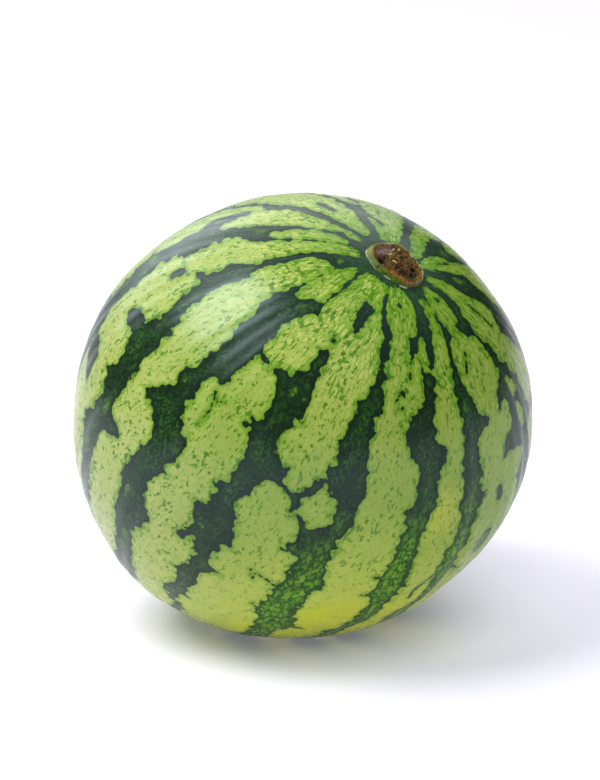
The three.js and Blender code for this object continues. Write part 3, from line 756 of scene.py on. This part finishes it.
    ragged = add("Math", add("TexNoise", in_mm, 1 / 1.2), 0.5, operation="SUBTRACT")
    fleck_size = add("Math", ragged, 0.3, all_of(larger, fleck_size), operation="MULTIPLY_ADD")
    flecks = add("Math", fleck_size, fleck_away, operation="SUBTRACT")
    flecks = add("MapRange", flecks, -0.03, 0.08, interpolation_type="SMOOTHSTEP")
    chosen = add("MapRange", chance, 0.5, 0.6, interpolation_type="SMOOTHSTEP")

    broad = add("TexNoise", in_mm, 1 / 14)
    light = add("Mix", broad, linear("#879e41"), linear("#98af4c"), data_type="RGBA")
    upper_light = add("Mix", broad, linear("#afb654"), linear("#bec66b"), data_type="RGBA")
    light = add("Mix", upper, light, upper_light, data_type="RGBA")
    for share, colour in [
        # Painted light on the left side, then painted shade on the right side
        (painted_light_on_left, "#b9c26e"),
        (all_of(painted_shade_on_right, off_ground), "#7d9434"),
        (all_of(near_ground, 0.7), "#b9c552"),
        (all_of(on_ground, 0.95), "#bfc632"),
        (sunned, "#bcc043"),
        (all_of(blotches, blotch_share), "#6f9c2c"),
        (all_of(net, net_share), "#729a2a"),
        (all_of(heads, head_streaks), "#43801a"),
        (all_of(rim, half_off_ground), "#69951f"),
        (all_of(strokes, kept, fewer), "#487c16"),
        (all_of(flecks, chosen, fewer), "#3d6e14"),
    ]:
        light = add("Mix", share, light, linear(colour), data_type="RGBA")

    # Dark streaks: darkest beside the light, tinted bluish slate towards the stem end as a painted sheen,
    # mottled inside with brighter clusters, and greener with dark veins towards the ground spot
    inside_dark = add("MapRange", border, -2.6, -0.9, 1, 0, interpolation_type="SMOOTHSTEP")
    deep_inside = add("MapRange", border, -4.6, -2.2, 1, 0, interpolation_type="SMOOTHSTEP")
    # Painted sheen: bluish slate towards the stem end, standing in for the wax's bluish gloss there
    painted_bluish_sheen = add("MapRange", from_stem, 0.1, 0.55, 0.6, 0, interpolation_type="SMOOTHSTEP")
    mottle = add("TexNoise", lengthwise(1.1, 1.7), 1, 3, 0.6)
    mottle = add("MapRange", mottle, 0.42, 0.66, interpolation_type="SMOOTHSTEP")
    mottled = add("TexNoise", in_mm, 1 / 12, 1)
    mottled = add("MapRange", mottled, 0.35, 0.65, 0.35, 1, interpolation_type="SMOOTHSTEP")
    fading = add("MapRange", from_stem, 0.1, 0.34, 0.45, 0, interpolation_type="SMOOTHSTEP")
    near_light = add("MapRange", border, -4.5, -0.4, interpolation_type="SMOOTHSTEP")
    fading_streaks = add("TexNoise", lengthwise(*WISP), 1)
    fading_streaks = add("MapRange", fading_streaks, 0.47, 0.6, interpolation_type="SMOOTHSTEP")
    cluster_away = add("TexVoronoi", lengthwise(*CLUSTER_CELL), 1)
    smaller = add("SeparateColor", cluster_away.node.outputs["Color"])
    clusters = add("Math", add("TexNoise", in_mm, 1 / 3), 0.5, cluster_away, operation="MULTIPLY_ADD")
    clusters = add("Math", smaller, 0.35, clusters, operation="MULTIPLY_ADD")
    clusters = add("MapRange", clusters, 0.4, 0.72, 1, 0, interpolation_type="SMOOTHSTEP")
    clusters = all_of(clusters, deep_inside, 0.75)
    seeds = add("TexNoise", lengthwise(*SEED), 1)
    seeds = add("MapRange", seeds, 0.48, 0.64, interpolation_type="SMOOTHSTEP")
    low = add("Math", add("TexNoise", in_mm, 1 / 9), 40, low_away, operation="MULTIPLY_ADD")
    low = add("MapRange", low, 78, 120, 1, 0, interpolation_type="SMOOTHSTEP")
    veins = add("TexVoronoi", lengthwise(*VEIN_CELL), 1, feature="DISTANCE_TO_EDGE")
    veins = add("Math", add("TexNoise", lengthwise(1, 2), 1), 0.35, veins, operation="MULTIPLY_ADD")
    veins = add("MapRange", veins, 0.2, 0.4, 0, 0.95, interpolation_type="SMOOTHSTEP")
    bright_places = add("TexNoise", lengthwise(2.4, 4), 1)
    bright_places = add("MapRange", bright_places, 0.52, 0.66, 0, 0.7, interpolation_type="SMOOTHSTEP")

    depth = add("TexNoise", in_mm, 1 / 7, 3)
    dark = add("Mix", depth, linear("#111d13"), linear("#1b311c"), data_type="RGBA")
    for share, colour in [
        # Painted sheen, bluish, towards the stem end
        (painted_bluish_sheen, "#2b4038"),
        (all_of(mottle, inside_dark, mottled), "#2f5c1d"),
        (all_of(fading, near_light, fading_streaks), "#3b6f1c"),
        (clusters, "#34691d"),
        (all_of(seeds, clusters), "#7a9f26"),
        (all_of(low, 0.7), "#2d5419"),
        (all_of(veins, low, inside_dark), "#5a951d"),
        (all_of(bright_places, low, deep_inside), "#83a52a"),
    ]:
        dark = add("Mix", share, dark, linear(colour), data_type="RGBA")

    gloss = add("MapRange", low_away, 50, 125, 0.15, 0.5, interpolation_type="SMOOTHSTEP")
    wax = add("TexNoise", in_mm, 1 / 6)
    pores = {"Height": add("TexNoise", in_mm, 1 / PORE), "Strength": 0.2, "Distance": 0.1 * MM}
    finish = {
        "Base Color": add("Mix", lightness, dark, light, data_type="RGBA"),
        "Roughness": add("MapRange", wax, 0.3, 0.7, 0.24, 0.31, interpolation_type="SMOOTHSTEP"),
        "IOR": 1.37,
        "Specular IOR Level": gloss,
        "Specular Tint": (0.82, 0.98, 1.08, 1),
        "Normal": add("Bump", named=pores),
    }
    add("OutputMaterial", add("BsdfPrincipled", named=finish))
    return material


rind_mesh.materials.append(waxy_striped_rind())
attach(rind, "root")
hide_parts("watermelon")


# The stem scar
# The dry corky bed where the stem came away, in a raised green collar with a cracked brown lip.
# Made from a dense ball, flattened into a thick disc that is let into the skin.
SCAR_SEGMENTS = 288
SCAR_RINGS = 116
COLLAR_HEIGHT = 1.9
BED_DEPTH = 1.2
LUMP_HEIGHT = 0.55
CRUMB_HEIGHT = 0.35
TEAR_HEIGHT = 0.5
COLLAR_BUMP = 0.12
FOOT_WANDER = 0.25
EDGE_WANDER = 0.45
UNDERSIDE_DEPTH = 2.6
# Degrees round the axis, then mm from it
BED_EDGE = [(-166, 12.2), (-150, 11), (-127, 9.6), (-116, 8.6), (-98, 7.2), (-64, 6.5), (-40, 7.2),
            (-24, 8.8), (-4, 11.4), (6, 12), (29, 11.9), (55, 12), (71, 11.6), (95, 10.6), (117, 12.1),
            (132, 13.3), (148, 13), (167, 12.5)]
# Dry pale creases along the collar's foot: from and to, in degrees round the axis, and how pale
CREASES = [(-152, -134, 0.75), (-136, -97, 0.3), (-73, -51, 0.55), (-25, -10, 0.75)]
OLIVE_TIP = [(-13, -5.5), (-10.5, -6.5)]
DARK_END = [(13, -0.5), (12.4, 5.5)]
# Places in mm about the axis, then how far they reach and how deep they are
PITS = [(-4.4, -4.7, 1.5, 1.2), (-6.2, -1.6, 1, 0.7), (3.7, 7.4, 1.4, 1), (6.4, 4.9, 1.5, 1.1),
        (1.1, -0.6, 0.8, 0.6), (0.5, 3.6, 0.9, 0.5), (-3.2, 6.4, 0.9, 0.5)]
ORANGE_TEAR = [(2.6, -4.4), (5.6, -2.9), (8.4, -1.6), (11.2, -0.6)]
DARK_GROOVE = [(-2, 1.2), (3.5, 0.9), (7.6, 2.9)]
MAUVE_TISSUE = [(-9.6, -2.6), (-9.2, 0.6), (-8.8, 3.6)]


def stroke_closeness(x, y, points, reach):
    """How near places are to a stroke through the points, as a bell that is 1 on it."""
    nearest = np.full(len(x), 1e9)
    for (x0, y0), (x1, y1) in zip(points, points[1:]):
        share = ((x - x0) * (x1 - x0) + (y - y0) * (y1 - y0)) / ((x1 - x0) ** 2 + (y1 - y0) ** 2)
        share = np.clip(share, 0, 1)
        nearest = np.minimum(nearest, np.hypot(x - x0 - share * (x1 - x0), y - y0 - share * (y1 - y0)))
    return np.exp(-0.5 * (nearest / reach) ** 2)


def rough(x, y, size, octaves, seed):
    """Uneven heights of about -1 to 1, from bumps of a size in mm."""
    places = [Vector((a / size, b / size, seed)) for a, b in zip(x, y)]
    return np.array([noise.fractal(place, 0.7, 2.1, octaves) for place in places])


def unit_directions(from_stem, longitude):
    """Directions of length 1 in the fruit's frame, at angles from the stem end and round the axis."""
    level = np.sin(from_stem)
    return np.stack([level * np.cos(longitude), level * np.sin(longitude), np.cos(from_stem)], axis=1)


scar_mesh = bpy.data.meshes.new("stem_scar")
bm = bmesh.new()
bmesh.ops.create_uvsphere(bm, u_segments=SCAR_SEGMENTS, v_segments=SCAR_RINGS, radius=1)
for face in bm.faces:
    face.smooth = True
bm.to_mesh(scar_mesh)
bm.free()
ball = vertex_array(scar_mesh)
ball /= np.linalg.norm(ball, axis=1)[:, None]
over_top = np.arccos(np.clip(ball[:, 2], -1, 1)) / (math.pi / 2)
on_top = over_top <= 1.0001
outwards = np.where(on_top, over_top, 2 - over_top)
turn = np.arctan2(ball[:, 1], ball[:, 0])
foot = round_outline(COLLAR_FOOT, turn)
reach = outwards * foot * 1.05
x, y = reach * np.cos(turn), reach * np.sin(turn)
scar_x, scar_y = x, y
foot = foot + FOOT_WANDER * rough(x, y, 2.2, 2, 4.1)
bed_edge = round_outline(BED_EDGE, turn) + EDGE_WANDER * rough(x, y, 1.8, 3, 7.7)
into_bed = bed_edge - reach
out_on_collar = np.clip(-into_bed / np.maximum(foot - bed_edge, 0.5), 0, 2)
heights = COLLAR_HEIGHT * (1 - smoothstep(out_on_collar, 0.1, 1.02))
heights -= BED_DEPTH * smoothstep(into_bed, -0.3, 2.0)
inside_bed = smoothstep(into_bed, -0.2, 0.8)
heights += LUMP_HEIGHT * inside_bed * rough(x, y, 2.6, 4, 1.3)
heights += CRUMB_HEIGHT * inside_bed * np.abs(rough(x, y, 1.1, 3, 2.9))
above_foot = 1 - smoothstep(out_on_collar, 0.7, 1)
heights += COLLAR_BUMP * (1 - inside_bed) * rough(x, y, 1.6, 3, 5.3) * above_foot
pit_depth = np.zeros(len(x))
for pit_x, pit_y, pit_reach, depth in PITS:
    uneven = 1 + 0.3 * rough(x - pit_x, y - pit_y, 1.2, 2, 8.8)
    away = np.hypot(x - pit_x, y - pit_y) * uneven
    pit_depth += depth * np.exp(-0.5 * (away / (0.6 * pit_reach)) ** 2)
heights -= pit_depth * inside_bed
orange = stroke_closeness(x, y, ORANGE_TEAR, 1.0)
heights += TEAR_HEIGHT * orange * (0.5 + rough(x, y, 0.9, 2, 6.1)) * inside_bed
heights -= 0.5 * smoothstep(reach / foot, 0.98, 1.05)
underside = -UNDERSIDE_DEPTH * (1 - outwards**3) - 0.5
heights = np.where(on_top, heights, underside)
scar_skin = skin_points(unit_directions(reach / EQUATOR_RADIUS, turn), heights)
scar_skin[:, 2] -= floor_height
set_vertices(scar_mesh, in_frame(scar_skin))
turn_degrees = np.degrees(turn)
at_foot = np.exp(-0.5 * ((reach - 0.965 * foot) / 0.15) ** 2)
crease = np.zeros(len(x))
for first, last, paleness in CREASES:
    window = smoothstep(turn_degrees, first - 2, first + 2) - smoothstep(turn_degrees, last - 2, last + 2)
    crease = np.maximum(crease, paleness * window * at_foot)
# What its finish reads at each place of the scar
scar_values = {
    "into_bed": np.where(on_top, into_bed, -5),
    "to_foot": reach / foot,
    "height": heights,
    "pit": pit_depth,
    "crease": np.where(on_top, crease, 0),
    "far_side": smoothstep(y, -1, 5) * (1 - 0.75 * smoothstep(x, 4, 10)),
    "olive_tip": stroke_closeness(x, y, OLIVE_TIP, 2.4),
    "dark_end": stroke_closeness(x, y, DARK_END, 2.4),
    "mauve_tissue": stroke_closeness(x, y, MAUVE_TISSUE, 1.5),
    "dark_groove": stroke_closeness(x, y, DARK_GROOVE, 0.9),
    "orange_tear": orange,
}
for name, values in scar_values.items():
    keep_attribute(scar_mesh, name, values)
scar = bpy.data.objects.new("stem_scar", scar_mesh)
bpy.context.scene.collection.objects.link(scar)


def dry_corky_scar():
    """Dry cork, dull and crumbly, with dark pits, in a collar of living green skin."""
    material, add = new_material("dry_corky_scar")
    place = add("TexCoord", out="Object")
    kept = {name: add("Attribute", attribute_name=name, out="Fac") for name in scar_values}
    into_bed = kept["into_bed"]
    patches = add("TexNoise", place, 1 / (2.2 * MM), 3, 0.6)
    grains = add("TexNoise", place, 1 / (0.6 * MM), 3, 0.6)

    # The collar: green, browner on its crest, with a dark foot and dry pale creases
    patchy = add("MapRange", patches, 0.35, 0.65, interpolation_type="SMOOTHSTEP")
    collar = add("Mix", patchy, linear("#2c4d0e"), linear("#4b6a18"), data_type="RGBA")
    collar = add("Mix", kept["olive_tip"], collar, linear("#727a2e"), data_type="RGBA")
    collar = add("Mix", kept["dark_end"], collar, linear("#38380f"), data_type="RGBA")
    crumbly = add("MapRange", grains, 0.4, 0.6, interpolation_type="SMOOTHSTEP")
    crest = add("Mix", crumbly, linear("#453c12"), linear("#786a26"), data_type="RGBA")
    crest = add("Mix", kept["far_side"], crest, linear("#767a40"), data_type="RGBA")
    on_crest = add("MapRange", into_bed, -1.5, -0.3, 0, 0.85, interpolation_type="SMOOTHSTEP")
    collar = add("Mix", on_crest, collar, crest, data_type="RGBA")
    at_foot = add("MapRange", kept["to_foot"], 0.92, 1, interpolation_type="SMOOTHSTEP")
    collar = add("Mix", at_foot, collar, linear("#1e3520"), data_type="RGBA")
    collar = add("Mix", kept["crease"], collar, linear("#cfc9a8"), data_type="RGBA")

    # The cork: dark between its grains, with patches of other browns, a golden tinge, one mauve end,
    # a dark groove, an orange tear and the pits
    dark_grains = add("MapRange", grains, 0.44, 0.58, interpolation_type="SMOOTHSTEP")
    tops = add("MapRange", kept["height"], 0.9, 1.8, 0, 0.6, interpolation_type="SMOOTHSTEP")
    slate = add("TexNoise", place, 1 / (3.1 * MM), 3, 0.6)
    slate = add("MapRange", slate, 0.5, 0.62, 0, 0.6, interpolation_type="SMOOTHSTEP")
    olive = add("MapRange", patches, 0.5, 0.6, 0, 0.7, interpolation_type="SMOOTHSTEP")
    golden = add("TexNoise", place, 1 / (0.9 * MM), 2, 0.6)
    golden = add("MapRange", golden, 0.6, 0.68, interpolation_type="SMOOTHSTEP")
    golden_places = add("TexNoise", place, 1 / (3.7 * MM), 3, 0.6)
    golden_places = add("MapRange", golden_places, 0.4, 0.6, interpolation_type="SMOOTHSTEP")
    golden = add("Math", golden, golden_places, operation="MULTIPLY")
    mauve = add("MapRange", grains, 0.3, 0.6, interpolation_type="SMOOTHSTEP")
    mauve = add("Math", kept["mauve_tissue"], mauve, operation="MULTIPLY")
    groove = add("Math", kept["dark_groove"], 0.85, operation="MULTIPLY")
    torn = add("MapRange", grains, 0.35, 0.55, interpolation_type="SMOOTHSTEP")
    torn = add("Math", kept["orange_tear"], torn, operation="MULTIPLY")
    pits = add("MapRange", kept["pit"], 0.2, 0.6, interpolation_type="SMOOTHSTEP")
    cork = add("Mix", dark_grains, linear("#120b09"), linear("#72522a"), data_type="RGBA")
    for share, colour in [
        (tops, "#86682f"),
        (slate, "#2a1d1d"),
        (olive, "#5e4f18"),
        (golden, "#9a8038"),
        (mauve, "#8c7068"),
        (groove, "#1c1315"),
        (torn, "#a06426"),
        (pits, "#120d0a"),
    ]:
        cork = add("Mix", share, cork, linear(colour), data_type="RGBA")

    # The lip between them: brown, but pale and uneven on the far side, and mottled at the dark end
    edge_width = add("TexNoise", place, 1 / (2.8 * MM), 3, 0.6)
    edge_width = add("MapRange", edge_width, 0.35, 0.65, -0.25, 0.3, interpolation_type="SMOOTHSTEP")
    past_edge = add("Math", into_bed, edge_width, operation="ADD")
    past_edge = add("MapRange", past_edge, 0.15, 0.45, interpolation_type="SMOOTHSTEP")
    pale_edge = add("Mix", past_edge, linear("#989a66"), linear("#33220f"), data_type="RGBA")
    lip = add("Mix", patches, linear("#4a3a12"), linear("#6b531b"), data_type="RGBA")
    lip = add("Mix", kept["far_side"], lip, pale_edge, data_type="RGBA")
    past_lip = add("MapRange", into_bed, 0.2, 0.8, interpolation_type="SMOOTHSTEP")
    bed = add("Mix", past_lip, lip, cork, data_type="RGBA")
    mottle = add("MapRange", grains, 0.42, 0.58, interpolation_type="SMOOTHSTEP")
    mottled = add("Mix", mottle, linear("#24200c"), linear("#6f6c32"), data_type="RGBA")
    mottled_share = add("Math", kept["dark_end"], 0.85, operation="MULTIPLY")
    bed = add("Mix", mottled_share, bed, mottled, data_type="RGBA")

    in_bed = add("MapRange", into_bed, -0.35, 0, interpolation_type="SMOOTHSTEP")
    crumb = {"Height": grains, "Strength": 0.6, "Distance": 0.25 * MM}
    finish = {
        "Base Color": add("Mix", in_bed, collar, bed, data_type="RGBA"),
        "Roughness": add("MapRange", into_bed, -0.6, 0.3, 0.5, 0.85, interpolation_type="SMOOTHSTEP"),
        "IOR": 1.25,
        "Normal": add("Bump", named=crumb),
    }
    add("OutputMaterial", add("BsdfPrincipled", named=finish))
    return material


scar_mesh.materials.append(dry_corky_scar())
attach(scar, "root")
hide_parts("watermelon")


# The torn fibres
# Dry strands of the stem's veins that stand out of the scar. Each is a thin bent strip, made from a
# long box.
FIBRE_SIZE = (0.8, 0.4)
# Ends of each strand in mm about the axis, and how high its middle bows
FIBRES = [((-9.5, 6.2), (-8.0, 4.4), 0.5), ((-6.2, 0.9), (-6.8, 3.1), 0.4), ((-8.1, 7.4), (-7.3, 8.2), 0.3),
          ((-3.6, 0.9), (-1.2, 1.4), 0.2)]
FIBRE_PIECES = 14
FIBRE_WANDER = 0.25


def dry_plant_fibre():
    """Pale straw-coloured plant fibre, dull and dry."""
    material, add = new_material("dry_plant_fibre")
    patches = add("TexNoise", add("TexCoord", out="Object"), 1 / (0.7 * MM), 2)
    colour = add("Mix", patches, linear("#7d6a2c"), linear("#d8cc7c"), data_type="RGBA")
    add("OutputMaterial", add("BsdfPrincipled", named={"Base Color": colour, "Roughness": 0.75}))
    return material


def scar_surface_height(x, y):
    """Height of the scar's top nearest to a place, in mm over the skin."""
    nearest = np.argmin(np.hypot(scar_x - x, scar_y - y) + np.where(on_top, 0, 100))
    return heights[nearest]


fibre_finish = dry_plant_fibre()
for number, (start, end, bow) in enumerate(FIBRES):
    fibre_mesh = bpy.data.meshes.new(f"torn_fibre_{number + 1}")
    bm = bmesh.new()
    bmesh.ops.create_cube(bm, size=1)
    lengthwise_edges = [e for e in bm.edges if abs(e.verts[0].co.x - e.verts[1].co.x) > 0.5]
    bmesh.ops.subdivide_edges(bm, edges=lengthwise_edges, cuts=FIBRE_PIECES)
    bm.to_mesh(fibre_mesh)
    bm.free()
    strip = vertex_array(fibre_mesh)
    share = strip[:, 0] + 0.5
    along = np.array(end) - np.array(start)
    across = np.array([-along[1], along[0]]) / np.hypot(*along)
    taper = 0.35 + 0.65 * np.sin(math.pi * np.clip(share, 0.05, 0.95))
    wander = FIBRE_WANDER * np.sin(5 * share + number)
    side = strip[:, 1] * FIBRE_SIZE[0] * taper + wander
    fibre_x = start[0] + along[0] * share + across[0] * side
    fibre_y = start[1] + along[1] * share + across[1] * side
    base = max(scar_surface_height(*start), scar_surface_height(*end))
    lift = base + bow * np.sin(math.pi * share) + strip[:, 2] * FIBRE_SIZE[1] * taper
    fibre_turn = np.arctan2(fibre_y, fibre_x)
    fibre_away = np.hypot(fibre_x, fibre_y) / EQUATOR_RADIUS
    fibre_skin = skin_points(unit_directions(fibre_away, fibre_turn), lift)
    fibre_skin[:, 2] -= floor_height
    set_vertices(fibre_mesh, in_frame(fibre_skin))
    fibre = bpy.data.objects.new(fibre_mesh.name, fibre_mesh)
    bpy.context.scene.collection.objects.link(fibre)
    fibre_mesh.materials.append(fibre_finish)
    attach(fibre, "root")
    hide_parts("watermelon")
